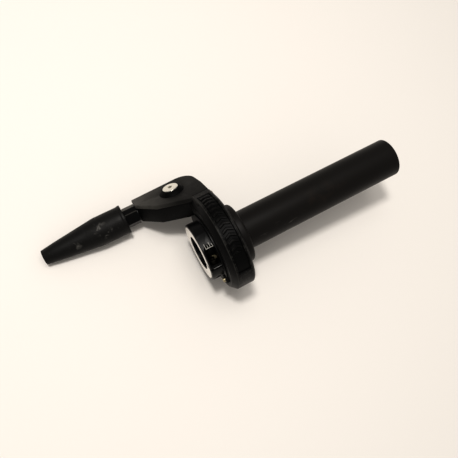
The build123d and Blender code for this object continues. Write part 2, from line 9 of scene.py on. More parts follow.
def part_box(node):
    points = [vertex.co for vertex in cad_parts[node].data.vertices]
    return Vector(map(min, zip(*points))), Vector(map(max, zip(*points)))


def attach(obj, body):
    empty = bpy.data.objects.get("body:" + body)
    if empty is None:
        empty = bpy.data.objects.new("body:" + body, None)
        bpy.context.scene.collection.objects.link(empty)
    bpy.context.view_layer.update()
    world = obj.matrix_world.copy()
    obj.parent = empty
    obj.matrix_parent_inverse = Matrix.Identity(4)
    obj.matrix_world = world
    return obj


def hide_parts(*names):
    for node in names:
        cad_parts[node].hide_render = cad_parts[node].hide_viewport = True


# Looks of a quick-action motorcycle throttle.  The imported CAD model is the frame: its X axis is
# the handlebar's axis, +X towards the bar's end, +Y forwards, +Z up.  Lengths are in metres.

MM = 0.001
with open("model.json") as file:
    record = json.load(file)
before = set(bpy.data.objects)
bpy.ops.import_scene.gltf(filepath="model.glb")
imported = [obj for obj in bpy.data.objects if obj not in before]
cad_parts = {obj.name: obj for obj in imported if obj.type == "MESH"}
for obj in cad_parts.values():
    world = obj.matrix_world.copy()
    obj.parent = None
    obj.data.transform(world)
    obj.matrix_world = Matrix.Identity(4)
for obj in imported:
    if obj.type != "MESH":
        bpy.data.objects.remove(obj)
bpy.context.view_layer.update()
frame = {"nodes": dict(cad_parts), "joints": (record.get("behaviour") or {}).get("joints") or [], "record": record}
nodes = frame["nodes"]
scene = bpy.context.scene


# ------------------------------------------------------------ places in the frame

def joint(name):
    """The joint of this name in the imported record."""
    return next(j for j in frame["joints"] if j["name"] == name)


ARM_TILT = math.radians(49)
ARM_NORMAL = Vector((0, math.sin(ARM_TILT), math.cos(ARM_TILT)))    # faces out of the arm
ARM_AHEAD = Vector((0, math.cos(ARM_TILT), -math.sin(ARM_TILT)))    # runs forwards along the arm
HEX_TURN = math.radians(18.5) - ARM_TILT    # a corner of the adjuster's hexagon, from +Y
CABLE_POINT = Vector(joint("adjuster_turn")["pos_m"])
ROLLER_POINT = Vector(joint("roller_spin")["pos_m"])

BAND_LOW, BAND_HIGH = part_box("cover_band")
HEX_LOW, HEX_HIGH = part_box("cable_adjuster")
BOOT_LOW, BOOT_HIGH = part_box("rubber_boot")
TUBE_LOW, TUBE_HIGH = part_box("throttle_tube")


def around_bar(x, radius, angle):
    """Point at this radius and angle (radians, from +Y towards +Z) about the bar's axis."""
    return Vector((x, radius * math.cos(angle), radius * math.sin(angle)))


def around_cable(x, radius, angle):
    """Point about the cable's line, which is parallel to the bar."""
    return Vector((x, CABLE_POINT.y, CABLE_POINT.z)) + around_bar(0, radius, angle)


def smoothstep(low, high, value):
    """0 below low, 1 above high, and a smooth rise between them."""
    t = min(max((value - low) / (high - low), 0.0), 1.0)
    return t * t * (3 - 2 * t)


# ------------------------------------------------------------------ materials

class Shader:
    """A node material built round one Principled surface."""

    def __init__(self, name, color, roughness, metallic=0.0, **sockets):
        self.material = bpy.data.materials.new(name)
        self.material.use_nodes = True
        self.tree = self.material.node_tree
        self.surface = self.tree.nodes["Principled BSDF"]
        self.surface.inputs["Base Color"].default_value = (*color, 1)
        self.surface.inputs["Roughness"].default_value = roughness
        self.surface.inputs["Metallic"].default_value = metallic
        for socket, value in sockets.items():
            self.surface.inputs[socket.replace("_", " ")].default_value = value
        self.color = (*color, 1)
        self.height = None
        self.coords = self.node("ShaderNodeTexCoord").outputs["Object"]

    def node(self, kind, inputs=None, **settings):
        made = self.tree.nodes.new(kind)
        for key, value in settings.items():
            setattr(made, key, value)
        for key, value in (inputs or {}).items():
            if isinstance(value, bpy.types.NodeSocket):
                self.tree.links.new(value, made.inputs[key])
            else:
                made.inputs[key].default_value = value
        return made

    def noise(self, scale, detail=3.0, stretch=(1, 1, 1), distortion=0.0):
        """Noise in the frame's own space, with features about 1 / scale metres across."""
        mapped = self.node("ShaderNodeMapping", {"Vector": self.coords, "Scale": stretch})
        made = self.node("ShaderNodeTexNoise", {
            "Vector": mapped.outputs[0], "Scale": scale, "Detail": detail,
            "Distortion": distortion})
        return made.outputs["Fac"]

    def ramp(self, value, low, high, bottom=0.0, top=1.0):
        """Maps a value from low..high to bottom..top, held flat outside."""
        made = self.node("ShaderNodeMapRange", {
            "Value": value, "From Min": low, "From Max": high, "To Min": bottom, "To Max": top})
        return made.outputs["Result"]

    def math(self, operation, first, second=0.0):
        return self.node("ShaderNodeMath", {0: first, 1: second}, operation=operation).outputs[0]

    def vector(self, operation, first, second):
        """Vector arithmetic on a socket and a fixed vector."""
        made = self.node("ShaderNodeVectorMath", {0: first, 1: tuple(second)}, operation=operation)
        return made.outputs["Vector"]

    def dot(self, first, direction):
        made = self.node("ShaderNodeVectorMath", {0: first, 1: tuple(direction)},
                         operation="DOT_PRODUCT")
        return made.outputs["Value"]

    def length(self, value):
        return self.node("ShaderNodeVectorMath", {0: value}, operation="LENGTH").outputs["Value"]

    def tint(self, mask, color):
        """Lays a colour over the surface where the mask is 1."""
        mixed = self.node("ShaderNodeMix", data_type="RGBA")
        self.tree.links.new(mask, mixed.inputs["Factor"])
        socket = self.surface.inputs["Base Color"]
        if socket.is_linked:
            self.tree.links.new(socket.links[0].from_socket, mixed.inputs["A"])
        else:
            mixed.inputs["A"].default_value = self.color
        mixed.inputs["B"].default_value = (*color, 1)
        self.tree.links.new(mixed.outputs["Result"], socket)

    def roughen(self, value, low, high):
        """Roughness that runs from low to high with this noise."""
        spread = self.ramp(value, 0.3, 0.7, low, high)
        self.tree.links.new(spread, self.surface.inputs["Roughness"])

    def bump(self, value, depth):
        """Adds relief of this depth, in metres."""
        made = self.node("ShaderNodeBump", {"Height": value, "Distance": depth, "Strength": 1.0})
        if self.height is not None:
            self.tree.links.new(self.height, made.inputs["Normal"])
        self.height = made.outputs["Normal"]
        self.tree.links.new(self.height, self.surface.inputs["Normal"])

    def near(self, point, size, soft=0.5):
        """Mask that is 1 near a point and fades out at this distance (x, y, z sizes)."""
        away = self.vector("SUBTRACT", self.coords, point)
        scaled = self.vector("MULTIPLY", away, [1 / s for s in size])
        return self.ramp(self.length(scaled), soft, 1.0, 1.0, 0.0)

    def axis(self, name):
        """One coordinate of the surface point, in metres."""
        return self.node("ShaderNodeSeparateXYZ", {0: self.coords}).outputs[name]

    def along(self, direction):
        """Distance of the surface point from the origin, along this direction."""
        return self.dot(self.coords, direction)

    def across_bar(self):
        """The surface point's vector from the bar's axis."""
        return self.vector("MULTIPLY", self.coords, (0, 1, 1))

    def facing(self):
        """The surface normal's X part."""
        normal = self.node("ShaderNodeNewGeometry").outputs["Normal"]
        return self.node("ShaderNodeSeparateXYZ", {0: normal}).outputs["X"]


def cast_black():
    """Black coated casting: fine orange-peel texture, dull, with painted shade under the plate's edge and on the
    nose's end face.
    """
    look = Shader("cast_black", (0.003, 0.0029, 0.0027), 0.5, Specular_IOR_Level=0.11)
    look.bump(look.noise(1400, 4), 0.05 * MM)
    look.roughen(look.noise(60, 2), 0.44, 0.6)
    look.tint(look.ramp(look.noise(240, 3), 0.62, 0.75, 0.0, 0.35), (0.018, 0.017, 0.016))
    # painted shade under the plate's overhang: a dark line where the arm's wall meets its plate
    shade_from, shade_to = 27.4 * MM, 27.8 * MM
    arm_from, arm_to = 12 * MM, 14 * MM
    wall_top_band = look.ramp(look.along(ARM_NORMAL), shade_from, shade_to)
    painted_shade_under_plate = look.math("MULTIPLY", wall_top_band, look.ramp(look.axis("Y"), arm_from, arm_to))
    look.tint(painted_shade_under_plate, (0.0006, 0.0006, 0.0006))
    # painted shade on the nose's end face, against the hexagon, which is also made fully rough
    nose_from, nose_to = -18 * MM, -20 * MM
    nose_end_shade = look.math("MULTIPLY", look.ramp(look.facing(), -0.6, -0.9),
                         look.ramp(look.axis("X"), nose_from, nose_to))
    look.tint(nose_end_shade, (0.001, 0.001, 0.001))
    roughness = look.surface.inputs["Roughness"]
    look.tree.links.new(look.math("MAXIMUM", roughness.links[0].from_socket, nose_end_shade), roughness)
    return look.material


def collar_metal():
    """Black anodised aluminium, with the end face turned bare, a little off centre."""
    face_depth, face_end = 0.4 * MM, 0.2 * MM
    turned_centre = (0, 0.5 * MM, -1.6 * MM)
    turned_radius, turned_edge = 17.4 * MM, 17.7 * MM
    ring_pitch, ring_depth = 0.22 * MM, 0.004 * MM
    look = Shader("collar_metal", (0.0025, 0.0025, 0.0027), 0.36, 0.0, Specular_IOR_Level=0.14)
    end_face = look.math("MULTIPLY", look.ramp(look.facing(), -0.9, -0.98),
                         look.ramp(look.axis("X"), face_depth, face_end))
    off_centre = look.vector("SUBTRACT", look.across_bar(), turned_centre)
    turned = look.ramp(look.length(off_centre), turned_radius, turned_edge, 1.0, 0.0)
    end_face = look.math("MULTIPLY", end_face, turned)
    radius = look.length(look.across_bar())
    rings = look.math("SINE", look.math("MULTIPLY", radius, 2 * math.pi / ring_pitch))
    look.bump(look.math("MULTIPLY", rings, end_face), ring_depth)
    look.bump(look.noise(2500, 3), 0.02 * MM)
    look.tint(end_face, (0.84, 0.82, 0.78))
    look.tree.links.new(end_face, look.surface.inputs["Metallic"])
    return look.material


def band_moulding():
    """Satin black moulding: speckled wear on the face, wear and painted highlights on the raised parts and ridges,
    and painted shade in the recess.
    """
    look = Shader("band_moulding", (0.0025, 0.0024, 0.0023), 0.4, Specular_IOR_Level=0.1)
    look.bump(look.noise(1800, 4), 0.03 * MM)
    look.roughen(look.noise(90, 3), 0.32, 0.46)
    look.tint(look.ramp(look.noise(420, 4), 0.64, 0.78, 0.0, 0.4), (0.022, 0.021, 0.019))
    # height over the bar's axis: straight out of the arm on the flat run, else along the radius
    on_flat = look.ramp(look.along(ARM_AHEAD), 0.0, 0.01 * MM)
    height = look.node("ShaderNodeMix", {
        "Factor": on_flat, "A": look.length(look.across_bar()),
        "B": look.along(ARM_NORMAL)}).outputs["Result"]
    top = BAND_HIGH.z
    # wear and painted highlight on the highest parts of the face
    raised = look.ramp(height, top - 0.35 * MM, top - 0.1 * MM)
    wear_and_highlight = look.math("MULTIPLY", raised, look.ramp(look.noise(650, 3), 0.5, 0.62))
    look.tint(look.math("MULTIPLY", wear_and_highlight, 0.35), (0.05, 0.048, 0.044))
    # painted highlight lines along the inboard chamfer's edge and the outboard edge of the face
    for ridge in (BAND_LOW.x + 3.3 * MM, BAND_HIGH.x - 1.0 * MM):
        away = look.math("ABSOLUTE", look.math("SUBTRACT", look.axis("X"), ridge))
        line = look.math("MULTIPLY", look.ramp(away, 0.12 * MM, 0.34 * MM, 1.0, 0.0),
                         look.ramp(look.noise(300, 4), 0.35, 0.6, 0.3, 1.0))
        look.tint(line, (0.035, 0.034, 0.031))
    # painted shade on the floor of the panel's recess
    panel_from, panel_to = BAND_LOW.x + 4.4 * MM, BAND_LOW.x + 4.6 * MM
    recess_shade = look.math("MULTIPLY", look.ramp(height, top - 0.6 * MM, top - 0.9 * MM),
                     look.ramp(look.axis("X"), panel_from, panel_to))
    look.tint(recess_shade, (0.0015, 0.0015, 0.0015))
    return look.material


def tube_plastic():
    """Satin black moulded tube: long faint draw marks, fine scratches and a faint warm patch."""
    look = Shader("tube_plastic", (0.0075, 0.0064, 0.0056), 0.45, Specular_IOR_Level=0.17)
    look.roughen(look.noise(45, 4, (0.35, 1, 1)), 0.4, 0.52)
    look.bump(look.noise(2200, 3, (0.08, 1, 1)), 0.02 * MM)
    scratches = look.ramp(look.noise(900, 2, (0.12, 1, 1), 0.4), 0.66, 0.7)
    lower_side = look.near((0.050, -0.012, 0.002), (0.024, 0.010, 0.012), 0.3)
    look.tint(look.math("MULTIPLY", scratches, lower_side), (0.10, 0.095, 0.085))
    blotches = look.ramp(look.noise(160, 3), 0.45, 0.7, 0.0, 0.35)
    middle = look.near((0.083, -0.004, 0.012), (0.022, 0.010, 0.006), 0.2)
    look.tint(look.math("MULTIPLY", blotches, middle), (0.03, 0.020, 0.014))
    return look.material


def boot_rubber():
    """Matte black rubber with handling dust and pale scuffs."""
    look = Shader("boot_rubber", (0.0062, 0.0059, 0.0055), 0.5, Specular_IOR_Level=0.18)
    look.bump(look.noise(900, 5), 0.04 * MM)
    look.roughen(look.noise(120, 4), 0.42, 0.6)
    dust = look.ramp(look.noise(700, 5), 0.6, 0.72, 0.0, 0.35)
    look.tint(dust, (0.028, 0.027, 0.025))
    scuffs = look.ramp(look.noise(260, 4, (1, 1, 1), 0.8), 0.52, 0.66, 0.0, 0.7)
    scuff_radius = 9 * MM
    # each scuff's distance from the adjuster's seat and its angle about the cable
    for distance, angle in ((26 * MM, 92), (23 * MM, 124), (44 * MM, 120)):
        place = around_cable(CABLE_POINT.x - distance, scuff_radius, math.radians(angle))
        patch = look.near(place, (0.006, 0.004, 0.004), 0.3)
        look.tint(look.math("MULTIPLY", scuffs, patch), (0.14, 0.135, 0.125))
    return look.material


def plate_plastic():
    """Matte dark grey moulding with a fine spark-eroded texture and a painted sheen, paler towards its end."""
    sheen_from, sheen_to = 2 * MM, -21 * MM
    look = Shader("plate_plastic", (0.0075, 0.007, 0.0062), 0.5, Specular_IOR_Level=0.12)
    # painted sheen: paler towards the plate's end by the nose
    painted_sheen = look.math("MULTIPLY", look.ramp(look.axis("X"), sheen_from, sheen_to, 0.0, 0.9),
                       look.ramp(look.noise(320, 4), 0.3, 0.7, 0.7, 1.0))
    look.tint(painted_sheen, (0.085, 0.081, 0.074))
    look.bump(look.noise(1600, 4), 0.04 * MM)
    look.roughen(look.noise(110, 3), 0.44, 0.56)
    return look.material


def washer_metal():
    """Dull black oxidised steel."""
    look = Shader("washer_black", (0.0012, 0.0012, 0.0012), 0.55, Specular_IOR_Level=0.07)
    look.bump(look.noise(1500, 3), 0.01 * MM)
    look.roughen(look.noise(200, 3), 0.51, 0.63)
    return look.material


def adjuster_metal():
    """Black oxidised steel, with a painted light strip by one corner of the hexagon and a painted highlight line
    along another.
    """
    look = Shader("adjuster_black", (0.0016, 0.0016, 0.0017), 0.35, Specular_IOR_Level=0.12)
    look.bump(look.noise(1500, 3), 0.01 * MM)
    look.roughen(look.noise(200, 3), 0.3, 0.42)
    from_line = look.vector("SUBTRACT", look.coords, CABLE_POINT)
    # painted light: a lit strip by the forward upper corner and a painted highlight line along the top corner
    lit_corner_strip = (60, 5.65 * MM, 5.85 * MM, (0.12, 0.115, 0.105))
    highlight_corner_line = (120, 6.65 * MM, 6.9 * MM, (0.055, 0.053, 0.048))
    for turn, low, high, color in (lit_corner_strip, highlight_corner_line):
        corner = math.radians(turn) + HEX_TURN
        reach = look.dot(from_line, (0, math.cos(corner), math.sin(corner)))
        corner_light = look.math("MULTIPLY", look.ramp(reach, low, high),
                         look.ramp(look.noise(900, 4), 0.3, 0.5, 0.5, 1.0))
        look.tint(corner_light, color)
    return look.material


def metal(name, color, roughness, stain=None, painted_shade=None):
    """Bare or plated metal: fine grain, uneven roughness, an optional stain, and painted shade
    outside a distance from a point."""
    look = Shader(name, color, roughness, 1.0)
    look.bump(look.noise(2600, 3), 0.006 * MM)
    look.roughen(look.noise(700, 4), roughness - 0.06, roughness + 0.12)
    if stain:
        look.tint(look.ramp(look.noise(520, 3), 0.45, 0.7, 0.0, 0.7), stain)
    if painted_shade:
        point, reach = painted_shade
        # painted shade: darker outside the given distance from the point
        unshaded = look.near(point, (reach, reach, reach), 0.75)
        look.tint(look.math("SUBTRACT", 1.0, unshaded), (0.012, 0.011, 0.009))
    return look.material


def plain_plastic(name, color, roughness=0.45):
    """Moulded plastic with faint flow variation; also rubber and paint."""
    look = Shader(name, color, roughness, Specular_IOR_Level=0.22)
    look.bump(look.noise(1200, 3), 0.02 * MM)
    look.roughen(look.noise(150, 3), roughness - 0.06, roughness + 0.08)
    return look.material


SLIT = math.radians(141)
SLIT_DOWN = Vector((0, math.sin(SLIT), -math.cos(SLIT)))    # square to the slit
CLAMP_LOW, CLAMP_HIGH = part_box("clamp_screw")
PINCH_R = 15.1 * MM                  # pinch screw's axis, from the bar's axis
PINCH_SEAT = 2.5 * MM                # its head's seat, from the middle of the slit
PINCH_HEAD_H = 3.2 * MM
PINCH_POINT = around_bar((CLAMP_LOW.x + CLAMP_HIGH.x) / 2, PINCH_R, SLIT)
PINCH_HEAD = PINCH_POINT + SLIT_DOWN * (PINCH_SEAT + PINCH_HEAD_H)
PINCH_UNSHADED = (PINCH_HEAD + Vector((1.3 * MM, 0, 0)), 1.9 * MM)     # the part left out of the painted shade from its pocket

LOOKS = {
    "cast_black": cast_black(),
    "collar_black": collar_metal(),
    "band_rubber": band_moulding(),
    "tube_black": tube_plastic(),
    "boot_rubber": boot_rubber(),
    "plate_grey": plate_plastic(),
    "washer_black": washer_metal(),
    "adjuster_black": adjuster_metal(),
    "nickel_steel": metal("nickel_steel", (0.80, 0.78, 0.72), 0.3),
    "zinc_steel": metal("zinc_steel", (0.40, 0.35, 0.24), 0.42, (0.26, 0.23, 0.15)),
    "pinch_steel": metal("pinch_steel", (0.50, 0.43, 0.28), 0.42, (0.36, 0.34, 0.20), PINCH_UNSHADED),
    "plain_steel": metal("plain_steel", (0.45, 0.45, 0.45), 0.35),
    "bush_bronze": metal("bush_bronze", (0.60, 0.42, 0.22), 0.32),
    "roller_metal": metal("roller_metal", (0.72, 0.72, 0.72), 0.28),
    "drum_plastic": plain_plastic("drum_plastic", (0.62, 0.60, 0.54)),
    "cover_black": plain_plastic("cover_black", (0.007, 0.0068, 0.0065)),
    "wiper_rubber": plain_plastic("wiper_rubber", (0.005, 0.005, 0.005), 0.6),
    "mark_paint": plain_plastic("mark_paint", (0.40, 0.39, 0.36), 0.5),
}
NODE_SLOT = {entry["node"]: entry["material_slot"] for entry in frame["record"]["subparts"]}
for name, node in nodes.items():
    for slot in node.material_slots:
        slot.material = LOOKS[NODE_SLOT[name]]


# ------------------------------------------------------------------ mesh making

def finish_piece(piece, body, slot, replaced=(), sharp=35):
    """Shades the piece, gives it its material and ties it to its body."""
    for polygon in piece.data.polygons:
        polygon.use_smooth = True
    piece.data.set_sharp_from_angle(angle=math.radians(sharp))
    piece.data.materials.clear()
    piece.data.materials.append(LOOKS[slot])
    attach(piece, body)
    if replaced:
        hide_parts(*replaced)
    return piece


def new_piece(name, mesh):
    piece = bpy.data.objects.new(name, mesh)
    scene.collection.objects.link(piece)
    return piece


def mesh_from_rings(name, rings, closed=False):
    """Skin over rings of points, each ring closed on itself.  closed joins the last ring to the
    first; otherwise the two end rings are filled."""
    count = len(rings[0])
    points = [tuple(p) for ring in rings for p in ring]
    faces = []
    last = len(rings) if closed else len(rings) - 1
    for i in range(last):
        j = (i + 1) % len(rings)
        for k in range(count):
            m = (k + 1) % count
            faces.append((i * count + k, i * count + m, j * count + m, j * count + k))
    if not closed:
        faces.append(tuple(reversed(range(count))))
        faces.append(tuple(range((len(rings) - 1) * count, len(rings) * count)))
    mesh = bpy.data.meshes.new(name)
    mesh.from_pydata(points, [], faces)
    tidy = bmesh.new()
    tidy.from_mesh(mesh)
    bmesh.ops.remove_doubles(tidy, verts=tidy.verts, dist=1e-7)
    bmesh.ops.recalc_face_normals(tidy, faces=tidy.faces)
    tidy.to_mesh(mesh)
    tidy.free()
    return mesh


def turn_angles(segments):
    """Equal steps round a full turn."""
    return [2 * math.pi * k / segments for k in range(segments)]


def lathe(name, profile, place, segments, shape=lambda x, radius, angle: radius):
    """Hollow solid of revolution.  profile is a closed list of (x, radius), place turns
    (x, radius, angle) into a point, and shape may change the radius."""
    rings = [[place(x, shape(x, radius, angle), angle) for angle in turn_angles(segments)]
             for x, radius in profile]
    return mesh_from_rings(name, rings, closed=True)


def rounded(corners, radii):
    """Profile with its corners rounded.  corners are (x, r), radii one for each."""
    steps = 5
    out = []
    count = len(corners)
    for i, (corner, radius) in enumerate(zip(corners, radii)):
        here = Vector((*corner, 0))
        if radius == 0:
            out.append(tuple(corner))
            continue
        before = (Vector((*corners[i - 1], 0)) - here).normalized()
        after = (Vector((*corners[(i + 1) % count], 0)) - here).normalized()
        half = before.angle(after) / 2
        reach = radius / math.tan(half)
        middle = here + (before + after).normalized() * (radius / math.sin(half))
        start = here + before * reach - middle
        end = here + after * reach - middle
        for s in range(steps + 1):
            spoke = start.lerp(end, s / steps).normalized() * radius
            out.append(((middle + spoke).x, (middle + spoke).y))
    return out


def eased(node, width):
    """A copy of a housing node with its flat faces made whole and its sharp edges rounded."""
    mesh = nodes[node].data.copy()
    piece = new_piece(node + "_finished", mesh)
    work = bmesh.new()
    work.from_mesh(mesh)
    bmesh.ops.remove_doubles(work, verts=work.verts, dist=0.001 * MM)
    bmesh.ops.dissolve_limit(work, angle_limit=math.radians(1), verts=work.verts, edges=work.edges)
    work.to_mesh(mesh)
    work.free()
    bevel = piece.modifiers.new("edge", "BEVEL")
    bevel.width = width
    bevel.segments = 2
    bevel.limit_method = "ANGLE"
    bevel.angle_limit = math.radians(30)
    bevel.use_clamp_overlap = True
    bpy.context.view_layer.update()
    evaluated = piece.evaluated_get(bpy.context.evaluated_depsgraph_get())
    finished = bpy.data.meshes.new_from_object(evaluated)
    piece.modifiers.clear()
    piece.data = finished
    return finish_piece(piece, "housing", NODE_SLOT[node], (node,))


# ----------------------------------------------------------------- moulded band

SEAM = 12.9 * MM                     # flat run of the band, from its round part to the arm
SEAM_GAP = 0.3 * MM                  # fine groove between the band and the arm's plate
ROUND_START = math.radians(90) - ARM_TILT
UNDERSIDE = math.radians(349.2)      # where the band meets the arm's underside
BAND_TOP = BAND_HIGH.z
BAND_T = 2.4 * MM
CHAMFER = 3.3 * MM                   # inboard edge of the band's face
OUTBOARD_EDGE = 1.0 * MM
INNER_CHAMFER = 2.7 * MM
PANEL_DEPTH = 1.0 * MM
BORDER = 1.2 * MM                    # raised edge on each side of the panel
PANEL_WALL = 0.28 * MM
RELIEF = 0.75 * MM
PANEL_FROM = -7.5 * MM               # along the band, from the start of its round part
PANEL_TO = BAND_TOP * math.radians(103)
RELIEF_FROM = PANEL_FROM + 1.2 * MM
RELIEF_TO = BAND_TOP * math.radians(77)
CHEVRON_PITCH = 3.9 * MM
CHEVRON_WIDTH = 1.7 * MM
CHEVRON_LEAN = 0.45
CHEVRON_MARGIN = 0.7 * MM
CHEVRON_SOFT = 0.16 * MM
BAND_STEP = 0.24 * MM                # mesh stations along the panel
BAND_COLUMNS = 56                    # mesh columns across the face
BAND_PLAIN_STATIONS = 70


def band_point(x, radius, along):
    """Point of the band at a distance along it: a flat run before zero, then round the case."""
    if along < 0:
        return Vector((x, 0, 0)) + ARM_NORMAL * radius - ARM_AHEAD * along
    return around_bar(x, radius, ROUND_START + along / BAND_TOP)


def band_relief(x, along):
    """Height of the band's face, measured from its border: a recessed panel with chevrons."""
    left = BAND_LOW.x + CHAMFER + BORDER
    right = BAND_HIGH.x - OUTBOARD_EDGE - BORDER
    inside = smoothstep(left, left + PANEL_WALL, x)
    inside *= 1 - smoothstep(right - PANEL_WALL, right, x)
    inside *= smoothstep(PANEL_FROM, PANEL_FROM + PANEL_WALL, along)
    inside *= 1 - smoothstep(PANEL_TO - PANEL_WALL, PANEL_TO, along)
    off_middle = abs(x - (left + right) / 2)
    reach = (right - left) / 2 - CHEVRON_MARGIN
    phase = ((along - CHEVRON_LEAN * off_middle) / CHEVRON_PITCH) % 1.0
    half = CHEVRON_WIDTH / CHEVRON_PITCH / 2
    soft = CHEVRON_SOFT / CHEVRON_PITCH
    stroke = 1 - smoothstep(half - soft, half + soft, abs(phase - 0.5))
    stroke *= 1 - smoothstep(reach - 0.2 * MM, reach, off_middle)
    stroke *= smoothstep(RELIEF_FROM, RELIEF_FROM + 0.3 * MM, along)
    stroke *= 1 - smoothstep(RELIEF_TO - 0.3 * MM, RELIEF_TO, along)
    return inside * (RELIEF * stroke - PANEL_DEPTH)


def make_band():
    x0, x1 = BAND_LOW.x, BAND_HIGH.x
    face0, face1 = x0 + CHAMFER, x1 - OUTBOARD_EDGE
    # outboard over the face, with slightly broken edges, then back along the inside
    outer = [(x0, BAND_TOP - CHAMFER), (x0 + 0.12 * MM, BAND_TOP - CHAMFER + 0.22 * MM),
             (face0 - 0.16 * MM, BAND_TOP - 0.12 * MM)]
    outer += [(face0 + (face1 - face0) * i / BAND_COLUMNS, BAND_TOP)
              for i in range(BAND_COLUMNS + 1)]
    outer += [(x1 - 0.90 * MM, BAND_TOP - 0.06 * MM), (x1 - 0.06 * MM, BAND_TOP - 0.90 * MM),
              (x1, BAND_TOP - OUTBOARD_EDGE)]
    inner_r = BAND_TOP - BAND_T
    inner = [(x1, inner_r), (x0 + INNER_CHAMFER, inner_r), (x0, inner_r - INNER_CHAMFER)]
    end = BAND_TOP * (UNDERSIDE - ROUND_START)
    fine = int((PANEL_TO + SEAM + 6 * MM) / BAND_STEP)
    stations = [SEAM_GAP - SEAM + i * BAND_STEP for i in range(fine)]
    start = stations[-1]
    stations += [start + (end - start) * (i + 1) / BAND_PLAIN_STATIONS
                 for i in range(BAND_PLAIN_STATIONS)]
    rings = []
    for along in stations:
        ring = [band_point(x, r + (band_relief(x, along) if face0 <= x <= face1 else 0.0), along)
                for x, r in outer]
        ring += [band_point(x, r, along) for x, r in inner]
        rings.append(ring)
    piece = new_piece("moulded_band", mesh_from_rings("moulded_band", rings))
    return finish_piece(piece, "housing", "band_rubber", ("cover_band",), sharp=50)


# ------------------------------------------------------------------- twist tube

FLANGE_X0 = 24.8 * MM
FLANGE_X1 = 29.8 * MM
FLANGE_R = 19.5 * MM
TUBE_R = 12.7 * MM
BORE_R = 11.45 * MM


def make_tube():
    x0, x1 = TUBE_LOW.x, TUBE_HIGH.x
    # each corner with the radius it is rounded to
    outline = [
        (x0, BORE_R, 0), (x0, TUBE_R, 0), (FLANGE_X0, TUBE_R, 0),
        (FLANGE_X0, FLANGE_R, 0.9 * MM), (FLANGE_X1, FLANGE_R, 1.7 * MM),
        (FLANGE_X1, TUBE_R, 1.2 * MM), (x1, TUBE_R, 0.6 * MM), (x1, BORE_R, 0.25 * MM),
    ]
    profile = rounded([(x, r) for x, r, _ in outline], [radius for _, _, radius in outline])
    piece = new_piece("moulded_tube", lathe("moulded_tube", profile, around_bar, 192))
    return finish_piece(piece, "twist", "tube_black", ("throttle_tube",), sharp=40)


# ------------------------------------------------------------------ rubber boot

BOOT_BORE = 2.7 * MM
BOOT_SOCKET = 5.7 * MM               # goes over the adjuster's barrel
BOOT_TIP_R = 4.85 * MM
BOOT_TAPER = 18.5 * MM               # it tapers from this far behind its mouth
PARTING_ANGLES = (1.2, 1.2 + math.pi)


def boot_outline(x0, x1, big):
    """Outside of the boot: mouth with a thin lip, barrel, shoulder, long taper and tip."""
    shoulder = x1 - BOOT_TAPER
    slope = (big - 0.3 * MM - BOOT_TIP_R) / (shoulder - x0)
    near_tip = 9 * MM
    outline = [
        (x1, BOOT_SOCKET + 0.3 * MM, 0), (x1, big, 0.25 * MM), (x1 - 1.3 * MM, big, 0.3 * MM),
        (x1 - 2.3 * MM, big - 0.35 * MM, 0.6 * MM), (shoulder, big - 0.25 * MM, 14 * MM),
        (x0 + near_tip, BOOT_TIP_R + near_tip * slope + 0.15 * MM, 12 * MM), (x0, BOOT_TIP_R, 0),
    ]
    outer = rounded([(x, r) for x, r, _ in outline], [radius for _, _, radius in outline])[1:-1]
    return outer + [(x0 + 0.35 * MM, BOOT_TIP_R), (x0 + 0.1 * MM, BOOT_TIP_R - 0.12 * MM),
                    (x0, BOOT_TIP_R - 0.4 * MM)]


def make_boot():
    x0, x1 = BOOT_LOW.x, BOOT_HIGH.x
    outer = boot_outline(x0, x1, (BOOT_HIGH.y - BOOT_LOW.y) / 2)
    inner = [
        (x0, BOOT_BORE + 0.25 * MM), (x0 + 0.25 * MM, BOOT_BORE),
        (HEX_LOW.x - 0.6 * MM, BOOT_BORE), (HEX_LOW.x - 0.3 * MM, BOOT_SOCKET),
        (x1 - 0.3 * MM, BOOT_SOCKET), (x1, BOOT_SOCKET + 0.3 * MM),
    ]

    def hand_made(x, radius, angle):
        """Moulded rubber is never quite round: a slow swell and a faint parting line."""
        if radius < BOOT_SOCKET + 0.5 * MM and x > x0 + 6 * MM:
            return radius
        swell = noise.noise(Vector((x * 90, math.cos(angle) * 0.9, math.sin(angle) * 0.9)))
        parting = sum(math.exp(-(math.sin((angle - a) / 2) / 0.012) ** 2) for a in PARTING_ANGLES)
        return radius + 0.07 * MM * swell + 0.05 * MM * parting

    mesh = lathe("moulded_boot", outer + inner, around_cable, 160, hand_made)
    piece = new_piece("moulded_boot", mesh)
    return finish_piece(piece, "boot", "boot_rubber", ("rubber_boot",), sharp=50)


# --------------------------------------------------------------- cable adjuster

HEX_END = -21.6 * MM                 # the hexagon's face towards the arm
HEX_LENGTH = 8.3 * MM
HEX_FLAT = 6.0 * MM
HEX_CHAMFER = 0.3 * MM
HEX_CHAMFER_ROWS = 8
SEAT_T = 0.65 * MM                   # thin round face between the hexagon and the arm
BARREL_R = 5.6 * MM
THREAD_R = 3.5 * MM
THREAD_PITCH = 1.0 * MM
THREAD_DEPTH = 0.5 * MM
THREAD_STEP = 0.1 * MM
SLEEVE_R = 2.7 * MM                  # seat of the cable's outer sleeve
SLEEVE_DEPTH = 18 * MM
WIRE_R = 1.3 * MM


def hexagon(angle, flat, turn):
    """Radius of a hexagon at this angle."""
    step = math.pi / 3
    off = (angle - turn) % step - step / 2
    return flat / math.cos(off)


def thread_radius(x, angle, fade):
    """Radius of the adjuster's thread, which runs down to a point as fade goes to 0."""
    phase = (x / THREAD_PITCH + angle / (2 * math.pi)) % 1.0
    crest = min(1, 1.25 * (1 - abs(2 * phase - 1)))
    return THREAD_R - THREAD_DEPTH * (1 - crest) - 0.4 * MM * (1 - fade)


